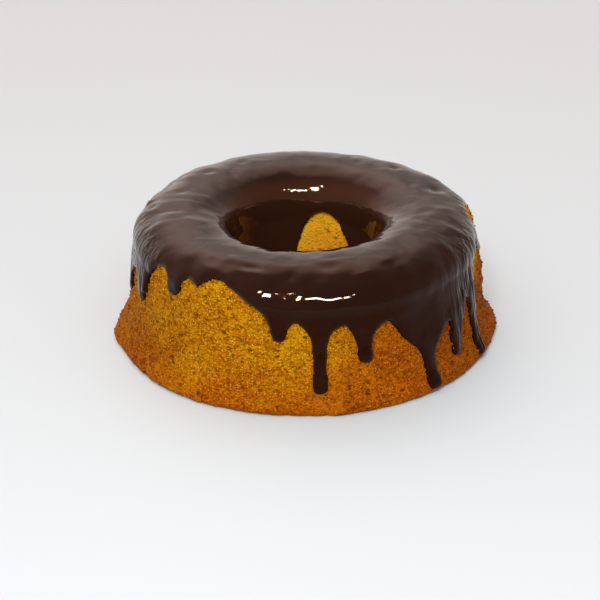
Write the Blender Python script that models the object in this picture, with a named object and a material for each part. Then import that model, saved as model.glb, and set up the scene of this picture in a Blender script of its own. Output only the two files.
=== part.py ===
"""Ring-shaped carrot cake with a poured chocolate coat, in metres with +Z up.

The origin lies under the middle of the ring, on the surface that the cake stands on.
Angles are in degrees from the front (-Y) and grow towards the right (+X). The sponge is
a turned section that is a little uneven, with a craggy crumb where it is bare. The coat
is a closed skin that lies over the crest, runs into the hole and ends in drips outside.
Lengths in this file are in millimetres until a mesh is made.
"""

import math
from dataclasses import dataclass

import bpy
import numpy as np
from mathutils import Vector, noise
from mathutils.geometry import delaunay_2d_cdt

METRES = 0.001

# Section of the sponge ring
CREST_HEIGHT = 78.4
CREST_RADIUS = 77.0
WALL_TOP_RADIUS = 104.6
WALL_TOP_HEIGHT = 60.4
WALL_LEAN = 0.2
SHOULDER_POWER = 2.5
HOLE_TOP_RADIUS = 48.4
HOLE_TOP_HEIGHT = 51.0
HOLE_BASE_RADIUS = 36.5
LIP_POWER = 2.25
FOOT_BULGE = 2.6
FOOT_HEIGHT = 5.0
FOOT_SPREAD = 6.0
BASE_ROUNDING = 1.8

# Slow waves of the ring's wall and crest; the wall's fade out over the crest
SWELL_BASE = 0.3
SWELL_CREST = 0.45
SWELL_FADE = 6.0

# Crumb of the bare sponge
CRAG_DEPTH = 0.5
CRAG_LENGTH = 9.0
CRAG_FADE = 5.0
BARE_MARGIN = 1.0
UNDER_COAT = 0.5

# Chocolate coat
COAT_TOP = 3.2
COAT_SIDE = 2.4
COAT_EDGE_WIDTH = 3.2
RIPPLE_DEPTH = 0.35
RIPPLE_LENGTH = 16.0

# Outline of a drip, as shares of its width: wider root, slimmer neck, round end
DRIP_FLARE = 0.3
DRIP_NECK = 0.9
DRIP_END_LENGTH = 0.55
DRIP_END_WIDTH = 0.6
DRIP_END_RISE = 0.1
LONG_DRIP = 1.4

# Spacing of the coat's points: along its edge, behind its edge and in the open
EDGE_STEP = 3.4
EDGE_INSET = 1.3
EDGE_GAP = 1.36
HOLE_STEP = 9.6
TOP_STEP = 7.6
SHOULDER_STEP = 6.0
WALL_STEP = 8.0

# Rows and columns of the sponge's grid
COLUMNS = 96
WALL_ROWS = 13
SHOULDER_ROWS = 6
LIP_ROWS = 4
HOLE_ROWS = 4

# Plain colours and roughness of the two materials
SPONGE_COLOUR = (0.48, 0.18, 0.015, 1.0)
SPONGE_ROUGHNESS = 0.85
CHOCOLATE_COLOUR = (0.035, 0.012, 0.006, 1.0)
CHOCOLATE_ROUGHNESS = 0.2


@dataclass
class Drip:
    """One run of chocolate down the outside, with a round end."""

    angle: float
    tip: float
    width: float
    root: float
    lean: float = 0.0


@dataclass
class Guide:
    """One point of the coat's edge between two drips."""

    angle: float
    height: float


@dataclass
class Bulge:
    """One soft swelling of the outer wall, or a hollow where its size is below zero."""

    angle: float
    width: float
    height: float
    spread: float
    size: float


# Swellings and hollows of the wall that make the ring lopsided
BULGES = (
    Bulge(90.0, 24.0, 44.0, 17.0, 3.0),
    Bulge(-88.0, 20.0, 32.0, 11.0, -2.0),
    Bulge(-46.0, 30.0, 0.0, 16.0, 2.4),
    Bulge(-80.0, 8.0, 2.0, 6.5, 3.6),
    Bulge(-94.0, 14.0, 13.0, 8.0, -2.8),
    Bulge(88.0, 15.0, 1.5, 8.5, 4.4),
    Bulge(-112.0, 30.0, 76.0, 12.0, -1.6),
    Bulge(116.0, 30.0, 76.0, 12.0, 1.4),
    Bulge(102.0, 11.0, 69.0, 9.0, 3.4),
)

# Where the sponge pushes up through the coat on the right, which is thin round there;
# the place and reach down the section are distances from the crest
THIN_PLACE = Bulge(98.0, 13.0, 29.0, 11.0, 0.85)

# Lower edge of the coat round the outside, from the left round the front to the back
COAT_EDGE = (
    Guide(-89.5, 62.0),
    Drip(-81.8, 31.0, 10.5, 49.0),
    Guide(-71.9, 51.6),
    Drip(-66.2, 38.3, 11.0, 47.0),
    Guide(-61.6, 56.4),
    Guide(-57.6, 66.4),
    Guide(-53.2, 68.3),
    Guide(-50.9, 65.0),
    Guide(-50.4, 58.5),
    Guide(-47.7, 55.9),
    Guide(-44.6, 59.0),
    Guide(-43.4, 66.0),
    Guide(-41.0, 69.8),
    Guide(-38.4, 68.0),
    Guide(-36.6, 67.9),
    Guide(-34.4, 70.6),
    Guide(-30.7, 73.0),
    Guide(-25.0, 70.7),
    Guide(-19.5, 65.8),
    Guide(-13.7, 59.5),
    Drip(-8.2, 43.0, 9.4, 52.5),
    Guide(-2.6, 54.4),
    Drip(4.3, 12.6, 9.0, 46.0),
    Guide(11.6, 52.8),
    Drip(18.2, 29.0, 10.0, 45.5),
    Guide(26.2, 51.2),
    Guide(31.5, 38.6),
    Drip(40.6, 2.6, 10.8, 27.5, -0.2),
    Guide(50.2, 37.3),
    Drip(52.9, 13.8, 9.6, 27.5, 0.6),
    Guide(61.3, 43.2),
    Drip(65.6, 2.8, 8.8, 33.0, -0.2),
    Guide(69.6, 51.5),
    Guide(75.6, 65.0),
    Guide(79.6, 65.3),
    Guide(83.0, 59.5),
    Guide(86.6, 53.5),
    Guide(90.2, 50.2),
    Guide(94.0, 49.9),
    Guide(97.2, 53.0),
    Guide(98.6, 57.0),
    Guide(97.0, 60.5),
    Guide(92.6, 62.6),
    Guide(88.8, 65.6),
    Guide(88.6, 69.6),
    Guide(92.4, 72.4),
    Guide(98.8, 73.2),
    Guide(104.2, 69.0),
    Drip(110.6, 35.0, 10.0, 57.0),
    Guide(118.5, 67.0),
    Drip(126.0, 19.0, 8.8, 52.0, 0.5),
    Guide(133.0, 59.0),
    Drip(140.0, 45.0, 10.5, 58.0),
    Guide(147.0, 69.0),
    Drip(155.5, 3.0, 8.6, 46.0, -0.6),
    Guide(162.5, 55.0),
    Drip(169.5, 31.0, 9.6, 51.0),
    Guide(177.0, 64.0),
    Drip(185.5, 50.0, 11.0, 62.0),
    Guide(192.5, 71.0),
    Drip(200.5, 17.0, 9.0, 52.0, 0.6),
    Guide(208.0, 59.0),
    Drip(215.0, 40.0, 9.0, 55.0),
    Guide(223.5, 68.0),
    Drip(231.5, 27.0, 9.8, 56.0),
    Guide(239.0, 66.0),
    Drip(246.5, 11.0, 8.8, 54.0, -0.5),
    Guide(254.5, 70.0),
    Drip(263.0, 44.0, 9.5, 60.0),
)

# Lower edge of the coat inside the hole, with one bare patch in the back wall
HOLE_EDGE = (
    Guide(-164.0, 8.0),
    Guide(-140.0, 5.0),
    Guide(-110.0, 13.0),
    Guide(-70.0, 6.0),
    Guide(-30.0, 12.0),
    Guide(0.0, 7.0),
    Guide(32.0, 13.0),
    Guide(62.0, 5.0),
    Guide(90.0, 11.0),
    Guide(112.0, 6.0),
    Guide(125.0, 10.0),
    Guide(134.5, 26.0),
    Guide(141.6, 37.6),
    Guide(148.3, 44.8),
    Guide(156.5, 53.0),
    Guide(166.5, 55.6),
    Guide(175.2, 50.8),
    Guide(181.5, 41.9),
    Guide(186.0, 32.0),
    Guide(191.0, 18.0),
)


def wall_radius(height):
    """Radius of the bare outer wall: a straight lean with a round bulge near the foot."""
    lean = WALL_LEAN * (WALL_TOP_HEIGHT - height)
    bulge = FOOT_BULGE * np.exp(-(((height - FOOT_HEIGHT) / FOOT_SPREAD) ** 2))
    return WALL_TOP_RADIUS + lean + bulge


def hole_radius(height):
    """Radius of the hole's wall, which narrows in a straight line towards the base."""
    share = height / HOLE_TOP_HEIGHT
    return HOLE_BASE_RADIUS + (HOLE_TOP_RADIUS - HOLE_BASE_RADIUS) * share


def quarter(edge_radius, edge_height, power, turn):
    """Quarter superellipse from a wall's top, at turn 0, to the crest, at a quarter turn."""
    radius = CREST_RADIUS + (edge_radius - CREST_RADIUS) * np.cos(turn) ** (2 / power)
    height = edge_height + (CREST_HEIGHT - edge_height) * np.sin(turn) ** (2 / power)
    return np.stack([radius, height], axis=1)


def make_section():
    """Section of the sponge from the inner base edge over the crest to the outer one.

    Gives the distance along it, zero at the crest and growing outwards, with the radius,
    height and outward normal at each point.
    """
    turn = np.linspace(0.0, math.pi / 2, 120)
    hole_z = np.linspace(BASE_ROUNDING, HOLE_TOP_HEIGHT, 60)[:-1]
    wall_z = np.linspace(BASE_ROUNDING, WALL_TOP_HEIGHT, 80)[:-1]
    hole = np.stack([hole_radius(hole_z), hole_z], axis=1)
    wall = np.stack([wall_radius(wall_z), wall_z], axis=1)
    lip = quarter(HOLE_TOP_RADIUS, HOLE_TOP_HEIGHT, LIP_POWER, turn)
    shoulder = quarter(WALL_TOP_RADIUS, WALL_TOP_HEIGHT, SHOULDER_POWER, turn)
    start = [[hole_radius(0.0) + BASE_ROUNDING, 0.0]]
    end = [[wall_radius(0.0) - BASE_ROUNDING, 0.0]]
    points = np.concatenate([start, hole, lip, shoulder[::-1][1:], wall[::-1], end])
    steps = np.hypot(*np.diff(points, axis=0).T)
    along = np.concatenate([[0.0], np.cumsum(steps)])
    along -= along[len(start) + len(hole) + len(lip) - 1]
    slope = np.gradient(points, along, axis=0)
    slope /= np.hypot(*slope.T)[:, None]
    return along, points[:, 0], points[:, 1], -slope[:, 1], slope[:, 0]


ALONG, RADIUS, HEIGHT, NORMAL_R, NORMAL_Z = make_section()

# Growth of the flat ring's size along the section, which keeps angles and shapes
MIDDLE_RADIUS = (RADIUS[1:] + RADIUS[:-1]) / 2
GROWTH = np.concatenate([[0.0], np.cumsum(np.diff(ALONG) / MIDDLE_RADIUS)])


def outside_at(height):
    """Distance from the crest down the outside to a height."""
    outside = ALONG > 0
    return np.interp(-height, -HEIGHT[outside], ALONG[outside])


def inside_at(height):
    """Distance from the crest down the hole to a height, below zero."""
    inside = ALONG < 0
    return np.interp(height, HEIGHT[inside], ALONG[inside])


def turned_by(angle, centre):
    """Angle from a centre given in degrees, in degrees between -180 and 180."""
    return (np.degrees(angle) - centre + 180.0) % 360.0 - 180.0


def strength(bulge, angle, height):
    """Size of one bulge's swelling at an angle and height, fading smoothly to nothing."""
    round_the_ring = (turned_by(angle, bulge.angle) / bulge.width) ** 2
    up_the_wall = ((height - bulge.height) / bulge.spread) ** 2
    return bulge.size * np.exp(-round_the_ring - up_the_wall)


def unevenness(angle, along):
    """Radial and upward departures from the turned shape: slow waves and soft bulges."""
    height = np.interp(along, ALONG, HEIGHT)
    rise = height / CREST_HEIGHT
    wave = np.sin(2 * angle + 0.7) + 0.6 * np.sin(3 * angle - 1.1) + 0.4 * np.sin(7 * angle)
    tilt = np.sin(2 * angle - 0.4) + 0.5 * np.sin(5 * angle + 2.0)
    radial = SWELL_BASE * wave
    for bulge in BULGES:
        radial = radial + strength(bulge, angle, height)
    outside = 1 / (1 + np.exp(-along / SWELL_FADE))
    return outside * radial, SWELL_CREST * rise**2 * tilt


def place(angle, along, lift):
    """Points on the ring's skin, raised along its normal by lift."""
    radial, upward = unevenness(angle, along)
    normal_r = np.interp(along, ALONG, NORMAL_R)
    normal_z = np.interp(along, ALONG, NORMAL_Z)
    radius = np.interp(along, ALONG, RADIUS) + radial + lift * normal_r
    height = np.interp(along, ALONG, HEIGHT) + upward + lift * normal_z
    return np.stack([radius * np.sin(angle), -radius * np.cos(angle), height], axis=-1)


def spread(angle, along):
    """The skin laid flat as a ring round the origin, with its angles and shape kept."""
    ring = np.exp(np.interp(along, ALONG, GROWTH))
    return np.stack([ring * np.cos(angle), ring * np.sin(angle)], axis=-1)


def gather(flat):
    """Angle and distance from the crest of points that spread has laid flat."""
    ring = np.hypot(flat[:, 0], flat[:, 1])
    return np.arctan2(flat[:, 1], flat[:, 0]), np.interp(np.log(ring), GROWTH, ALONG)


def edge_points(edge):
    """Guide points of the coat's outer edge as pairs of angle in degrees and height."""
    guides = []
    for item in edge:
        if isinstance(item, Guide):
            guides.append((item.angle, item.height))
            continue
        degree = math.radians(1.0) * float(wall_radius(item.tip))
        half = item.width / 2 / degree
        drop = [
            (half * DRIP_END_WIDTH, 0.0, item.tip + DRIP_END_RISE * item.width),
            (half, 0.0, item.tip + DRIP_END_LENGTH * item.width),
            (half * (1 + DRIP_FLARE), item.lean, item.root),
        ]
        if item.root - item.tip > LONG_DRIP * item.width:
            drop.insert(2, (half * DRIP_NECK, item.lean / 2, (item.root + item.tip) / 2))
        left = [(item.angle - reach + lean, height) for reach, lean, height in drop]
        right = [(item.angle + reach + lean, height) for reach, lean, height in drop]
        guides += left[::-1] + right
    return guides


def smooth_edge(guides, to_along, reference):
    """Closed smooth curve through the guide points, as arrays of angle and distance.

    Each stretch is a Catmull-Rom curve, cut into steps of about EDGE_STEP.
    """
    angle = np.radians([guide[0] for guide in guides])
    along = to_along(np.array([guide[1] for guide in guides]))
    arc = angle * reference
    turn = 2 * math.pi * reference
    points = np.stack([arc, along], axis=1)
    before = points[-1:] - [turn, 0.0]
    after = points[:2] + [turn, 0.0]
    points = np.concatenate([before, points, after])
    pieces = []
    for start in range(len(guides)):
        p0, p1, p2, p3 = points[start : start + 4]
        count = max(1, round(np.hypot(*(p2 - p1)) / EDGE_STEP))
        t = (np.arange(count) / count)[:, None]
        bend = (2 * p0 - 5 * p1 + 4 * p2 - p3) * t**2 + (3 * p1 - p0 - 3 * p2 + p3) * t**3
        pieces.append((2 * p1 + (p2 - p0) * t + bend) / 2)
    curve = np.concatenate(pieces)
    return curve[:, 0] / reference, curve[:, 1]


def distance_to(points, line):
    """Least distance from each point to a closed line of points in space."""
    start = line
    step = np.roll(line, -1, axis=0) - line
    size = (step**2).sum(axis=1)
    nearest = np.empty(len(points))
    for index, point in enumerate(points):
        share = np.clip(((point - start) * step).sum(axis=1) / size, 0.0, 1.0)
        gap = start + share[:, None] * step - point
        nearest[index] = math.sqrt((gap**2).sum(axis=1).min())
    return nearest


def inside_line(flat, line):
    """Whether each flat point lies inside a closed flat line, by counted crossings."""
    x1, y1 = line.T
    x2, y2 = np.roll(line, -1, axis=0).T
    x, y = flat[:, :1], flat[:, 1:]
    spans = (y1 > y) != (y2 > y)
    rise = np.where(y2 == y1, 1.0, y2 - y1)
    left = x < x1 + (x2 - x1) * (y - y1) / rise
    return (spans & left).sum(axis=1) % 2 == 1


class Coat:
    """The region that the coat covers: its two edges on the skin and tests against them."""

    def __init__(self):
        self.outer = smooth_edge(edge_points(COAT_EDGE), outside_at, WALL_TOP_RADIUS)
        hole = [(guide.angle, guide.height) for guide in HOLE_EDGE]
        self.inner = smooth_edge(hole, inside_at, HOLE_BASE_RADIUS)
        self.lines = [place(*edge, 0.0) for edge in (self.outer, self.inner)]
        self.flats = [spread(*edge) for edge in (self.outer, self.inner)]

    def distance(self, angle, along):
        """Distance of points on the skin from the coat's nearest edge."""
        points = place(angle, along, 0.0)
        return np.minimum(*(distance_to(points, line) for line in self.lines))

    def covers(self, flat):
        """Whether flat points lie under the coat."""
        return inside_line(flat, self.flats[0]) & ~inside_line(flat, self.flats[1])

    def signed(self, angle, along):
        """Distance from the edge, above zero under the coat and below zero outside it."""
        inside = self.covers(spread(angle, along))
        return np.where(inside, 1.0, -1.0) * self.distance(angle, along)


def noise_at(points, length, octaves):
    """Smooth noise between about -1 and 1 at points, with features of the given length."""
    values = []
    for point in points:
        where = Vector(point) / length
        values.append(noise.fractal(where, 1.0, 2.0, octaves))
    return np.array(values)


def new_object(name, points, faces, colour, roughness, sharp_angle):
    """A named mesh object in metres with its own Principled material."""
    mesh = bpy.data.meshes.new(name)
    mesh.from_pydata((points * METRES).tolist(), [], faces)
    mesh.validate()
    mesh.shade_smooth()
    mesh.set_sharp_from_angle(angle=math.radians(sharp_angle))
    material = bpy.data.materials.new(name)
    material.use_nodes = True
    shader = material.node_tree.nodes["Principled BSDF"]
    shader.inputs["Base Color"].default_value = colour
    shader.inputs["Roughness"].default_value = roughness
    shader.inputs["Metallic"].default_value = 0.0
    mesh.materials.append(material)
    thing = bpy.data.objects.new(name, mesh)
    bpy.context.scene.collection.objects.link(thing)
    return thing


def sponge_rows():
    """Distances along the section of the grid's rows, closer together on the outer wall."""
    hole_top = inside_at(HOLE_TOP_HEIGHT)
    wall_top = outside_at(WALL_TOP_HEIGHT)
    hole = np.linspace(ALONG[1], hole_top, HOLE_ROWS + 1)
    lip = np.linspace(hole_top, 0.0, LIP_ROWS + 1)
    shoulder = np.linspace(0.0, wall_top, SHOULDER_ROWS + 1)
    wall = np.linspace(wall_top, ALONG[-2], WALL_ROWS + 1)
    return np.concatenate([ALONG[:1], hole[:-1], lip[:-1], shoulder[:-1], wall, ALONG[-1:]])


def make_sponge(coat):
    """The ring of sponge: a closed grid of rows and columns with a flat base."""
    rows = sponge_rows()
    columns = np.arange(COLUMNS) * 2 * math.pi / COLUMNS
    along, angle = np.meshgrid(rows, columns, indexing="ij")
    along, angle = along.ravel(), angle.ravel()
    signed = coat.signed(angle, along)
    bare = np.clip((-signed - BARE_MARGIN) / CRAG_FADE, 0.0, 1.0)
    crags = CRAG_DEPTH * noise_at(place(angle, along, 0.0), CRAG_LENGTH, 3)
    lift = bare * crags - (1 - bare) * UNDER_COAT
    on_base = np.interp(along, ALONG, HEIGHT) == 0.0
    points = place(angle, along, np.where(on_base, 0.0, lift))
    points[on_base, 2] = 0.0
    faces = []
    count = len(rows)
    for row in range(count):
        for column in range(COLUMNS):
            a = row * COLUMNS + column
            b = row * COLUMNS + (column + 1) % COLUMNS
            above = (row + 1) % count * COLUMNS
            faces.append((a, above + column, above + (column + 1) % COLUMNS, b))
    return new_object("cake", points, faces, SPONGE_COLOUR, SPONGE_ROUGHNESS, 60.0)


def seed_rings():
    """Distances along the section of the coat's rings of points, each with its spacing."""
    hole_top = inside_at(HOLE_TOP_HEIGHT)
    wall_top = outside_at(WALL_TOP_HEIGHT)
    stretches = (
        (ALONG[0], hole_top, HOLE_STEP),
        (hole_top, 0.0, TOP_STEP),
        (0.0, wall_top, SHOULDER_STEP),
        (wall_top, ALONG[-1], WALL_STEP),
    )
    rings = []
    for start, end, step in stretches:
        count = round((end - start) / (step * math.sqrt(0.75)))
        rings += [(ring, step) for ring in np.linspace(start, end, count, endpoint=False)]
    return rings


def coat_seeds(coat):
    """Angle and distance of the coat's inner points: a line behind each edge, then rings."""
    angles, alongs = [], []
    for edge in (coat.outer, coat.inner):
        angle, along = edge
        radius = np.interp(along, ALONG, RADIUS)
        ahead = np.roll(angle, -1) - np.roll(angle, 1)
        ahead = (ahead + math.pi) % (2 * math.pi) - math.pi
        run = ahead * radius
        climb = np.roll(along, -1) - np.roll(along, 1)
        length = np.hypot(run, climb)
        side = -1.0 if edge is coat.outer else 1.0
        angles.append(angle - side * EDGE_INSET * climb / length / radius)
        alongs.append(along + side * EDGE_INSET * run / length)
    behind_angle, behind_along = np.concatenate(angles), np.concatenate(alongs)
    clear = EDGE_INSET * math.cos(math.radians(30.0))
    keep = coat.signed(behind_angle, behind_along) > clear
    angles, alongs = [behind_angle[keep]], [behind_along[keep]]
    for index, (ring, step) in enumerate(seed_rings()):
        count = round(2 * math.pi * np.interp(ring, ALONG, RADIUS) / step)
        angle = (np.arange(count) + 0.5 * (index % 2)) * 2 * math.pi / count
        along = np.full(count, ring)
        keep = coat.signed(angle, along) > EDGE_INSET + EDGE_GAP
        angles.append(angle[keep])
        alongs.append(along[keep])
    return np.concatenate(angles), np.concatenate(alongs)


def coat_thickness(angle, along, distance):
    """Thickness of the coat: full in the open, less in the thin place and at its edge."""
    height = np.interp(along, ALONG, HEIGHT)
    top = np.clip((height - HOLE_TOP_HEIGHT) / (CREST_HEIGHT - HOLE_TOP_HEIGHT), 0.0, 1.0)
    full = COAT_SIDE + (COAT_TOP - COAT_SIDE) * top
    ripple = RIPPLE_DEPTH * noise_at(place(angle, along, 0.0), RIPPLE_LENGTH, 2)
    inset = np.clip(distance / COAT_EDGE_WIDTH, 0.0, 1.0)
    thinned = 1 - strength(THIN_PLACE, angle, along)
    return (full + ripple) * thinned * np.sqrt(1 - (1 - inset) ** 2)


def make_coat(coat):
    """The chocolate coat: one triangulated region, as an outer and an inner skin."""
    seed_angle, seed_along = coat_seeds(coat)
    flat = np.concatenate([*coat.flats, spread(seed_angle, seed_along)])
    sides = []
    first = 0
    for line in coat.flats:
        count = len(line)
        sides += [(first + index, first + (index + 1) % count) for index in range(count)]
        first += count
    corners = [Vector(point) for point in flat.tolist()]
    made = delaunay_2d_cdt(corners, sides, [], 0, 1e-9)
    flat = np.array([tuple(corner) for corner in made[0]])
    triangles = np.array(made[2])
    triangles = triangles[coat.covers(flat[triangles].mean(axis=1))]
    used, triangles = np.unique(triangles, return_inverse=True)
    triangles = triangles.reshape(-1, 3)
    angle, along = gather(flat[used])
    distance = coat.distance(angle, along)
    on_edge = distance < 0.01
    thickness = coat_thickness(angle, along, np.where(on_edge, 0.0, distance))
    outer = place(angle, along, thickness)
    inner = place(angle, along, 0.0)
    twin = np.where(on_edge, np.arange(len(used)), len(used) + np.cumsum(~on_edge) - 1)
    points = np.concatenate([outer, inner[~on_edge]])
    faces = triangles.tolist() + twin[triangles][:, ::-1].tolist()
    return new_object("icing", points, faces, CHOCOLATE_COLOUR, CHOCOLATE_ROUGHNESS, 80.0)


def clear_scene():
    """Remove what is in the scene."""
    for thing in list(bpy.data.objects):
        bpy.data.objects.remove(thing, do_unlink=True)


def main():
    """Build the sponge ring and the coat that lies on it."""
    clear_scene()
    coat = Coat()
    make_sponge(coat)
    make_coat(coat)


main()
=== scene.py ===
"""Looks of the ring-shaped carrot cake under its poured chocolate coat.

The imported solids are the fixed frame. The sponge and the coat are modelled again with
their fine relief, and each stands for its own solid. The skin of the ring has two
coordinates: an angle, zero at the front and growing towards the right, and a distance
along the section, zero on the crest, positive down the outside and negative into the
hole. Lengths are in millimetres until a mesh is made.
"""

from __future__ import annotations

import itertools
import logging
import math
from dataclasses import dataclass, field
from enum import Enum
from typing import Any, Union

import bpy
import numpy as np
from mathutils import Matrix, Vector
from mathutils.geometry import delaunay_2d_cdt

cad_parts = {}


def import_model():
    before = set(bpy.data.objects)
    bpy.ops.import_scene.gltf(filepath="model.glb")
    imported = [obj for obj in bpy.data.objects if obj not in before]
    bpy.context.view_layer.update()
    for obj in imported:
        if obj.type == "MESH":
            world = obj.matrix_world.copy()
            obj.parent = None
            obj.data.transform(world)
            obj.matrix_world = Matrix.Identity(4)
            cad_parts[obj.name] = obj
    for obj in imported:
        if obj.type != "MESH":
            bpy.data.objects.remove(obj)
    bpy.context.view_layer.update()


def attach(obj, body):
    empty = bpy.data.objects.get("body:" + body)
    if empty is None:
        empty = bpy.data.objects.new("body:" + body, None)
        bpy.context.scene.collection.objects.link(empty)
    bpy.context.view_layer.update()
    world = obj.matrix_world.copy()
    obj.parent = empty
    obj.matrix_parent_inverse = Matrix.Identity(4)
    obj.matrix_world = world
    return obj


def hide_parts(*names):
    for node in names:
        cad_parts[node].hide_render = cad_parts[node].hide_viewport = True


Array = np.ndarray
Colour = tuple[float, float, float]
Band = tuple[float, float]  # two limits, or a middle and a spread
Pair = tuple[Array, Array]
Piece = bpy.types.Object
Socket = bpy.types.NodeSocket

MILLIMETRE = 0.001
TURN = 2 * math.pi

LOG = logging.getLogger("carrot_cake")


def bell(value: Array, middle: float, spread: float) -> Array:
    """Bell curve: exp of minus the square of the offset over the spread."""
    return np.exp(-(((value - middle) / spread) ** 2))


def slope(value: Array, middle: float, spread: float) -> Array:
    """Rise from 0 to 1: one over one plus exp of minus the offset over the spread."""
    return 1 / (1 + np.exp((middle - value) / spread))


class Slot(Enum):
    """The record's material slots."""

    SPONGE = "sponge"
    CHOCOLATE = "chocolate"


class Node(Enum):
    """The solids that the dressed pieces stand for."""

    CAKE = "cake"
    ICING = "icing"


@dataclass(frozen=True)
class Guide:
    """One point of the coat's edge: its angle in degrees and its height."""

    angle: float
    height: float

    def outline(self, _degree: float) -> list[tuple[float, float]]:
        """The guide's own point as a pair of angle and height."""
        return [(self.angle, self.height)]


@dataclass(frozen=True)
class Drip:
    """One run of chocolate down the outside, with a round end."""

    angle: float
    tip: float
    width: float
    root: float
    lean: float = 0.0
    flare: float = 0.3
    neck: float = 0.9
    end_length: float = 0.55
    end_width: float = 0.6
    end_rise: float = 0.1
    long_share: float = 1.4

    def outline(self, degree: float) -> list[tuple[float, float]]:
        """Points down the left side, round the end and up the right side.

        Args:
            degree: Length of one degree round the wall.

        Returns:
            Pairs of angle in degrees and height.
        """
        half = self.width / 2 / degree
        points = [
            (half * self.end_width, 0.0, self.tip + self.end_rise * self.width),
            (half, 0.0, self.tip + self.end_length * self.width),
            (half * (1 + self.flare), self.lean, self.root),
        ]
        if self.root - self.tip > self.long_share * self.width:
            middle = (self.root + self.tip) / 2
            points.insert(2, (half * self.neck, self.lean / 2, middle))
        left = [(self.angle - reach + lean, height) for reach, lean, height in points]
        right = [(self.angle + reach + lean, height) for reach, lean, height in points]
        return left[::-1] + right


@dataclass(frozen=True)
class Swelling:
    """One soft swelling on the skin, or a hollow where its size is below zero."""

    angle: float
    width: float
    height: float
    spread: float
    size: float

    @classmethod
    def rows(cls, *rows: tuple[float, ...]) -> tuple["Swelling", ...]:
        """Swellings from rows of numbers in the fields' order."""
        return tuple(cls(*row) for row in rows)

    def strength(self, angle: Array, height: Array) -> Array:
        """Bell-shaped in both directions: size times exp of minus both squared offsets.

        Args:
            angle: Angles in radians.
            height: Heights, or distances along the section, in the swelling's own terms.

        Returns:
            The swelling's size at each point.
        """
        turned = (np.degrees(angle) - self.angle + 180.0) % 360.0 - 180.0
        return self.size * np.exp(
            -((turned / self.width) ** 2) - ((height - self.height) / self.spread) ** 2
        )


Edge = tuple[Union[Guide, Drip], ...]


def edge(*rows: tuple[float, ...]) -> Edge:
    """Guides from rows of angle and height, and drips from longer rows of their fields."""
    return tuple(Guide(*row) if len(row) == 2 else Drip(*row) for row in rows)


COAT_EDGE = edge(
    (-89.5, 62), (-81.8, 31, 10.5, 49), (-71.9, 51.6), (-66.2, 38.3, 11, 47), (-61.6, 56.4),
    (-57.6, 66.4), (-53.2, 68.3), (-50.9, 65), (-50.4, 58.5), (-47.7, 55.9), (-44.6, 59),
    (-43.4, 66), (-41, 69.8), (-38.4, 68), (-36.6, 67.9), (-34.4, 70.6), (-30.7, 73),
    (-25, 70.7), (-19.5, 65.8), (-13.7, 59.5), (-8.2, 43, 9.4, 52.5), (-2.6, 54.4),
    (4.3, 12.6, 9, 46), (11.6, 52.8), (18.2, 29, 10, 45.5), (26.2, 51.2), (31.5, 38.6),
    (40.6, 2.6, 10.8, 27.5, -0.2), (50.2, 37.3), (52.9, 13.8, 9.6, 27.5, 0.6), (61.3, 43.2),
    (65.6, 2.8, 8.8, 33, -0.2), (69.6, 51.5), (75.6, 65), (79.6, 65.3), (83, 59.5),
    (86.6, 53.5), (90.2, 50.2), (94, 49.9), (97.2, 53), (98.6, 57), (97, 60.5), (92.6, 62.6),
    (88.8, 65.6), (88.6, 69.6), (92.4, 72.4), (98.8, 73.2), (104.2, 69), (110.6, 35, 10, 57),
    (118.5, 67), (126, 19, 8.8, 52, 0.5), (133, 59), (140, 45, 10.5, 58), (147, 69),
    (155.5, 3, 8.6, 46, -0.6), (162.5, 55), (169.5, 31, 9.6, 51), (177, 64),
    (185.5, 50, 11, 62), (192.5, 71), (200.5, 17, 9, 52, 0.6), (208, 59), (215, 40, 9, 55),
    (223.5, 68), (231.5, 27, 9.8, 56), (239, 66), (246.5, 11, 8.8, 54, -0.5), (254.5, 70),
    (263, 44, 9.5, 60),
)

HOLE_EDGE = edge(
    (-164, 8), (-140, 5), (-110, 13), (-70, 6), (-30, 12), (0, 7), (32, 13), (62, 5), (90, 11),
    (112, 6), (125, 10), (134.5, 26), (141.6, 37.6), (148.3, 44.8), (156.5, 53), (166.5, 55.6),
    (175.2, 50.8), (181.5, 41.9), (186, 32), (191, 18),
)


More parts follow.
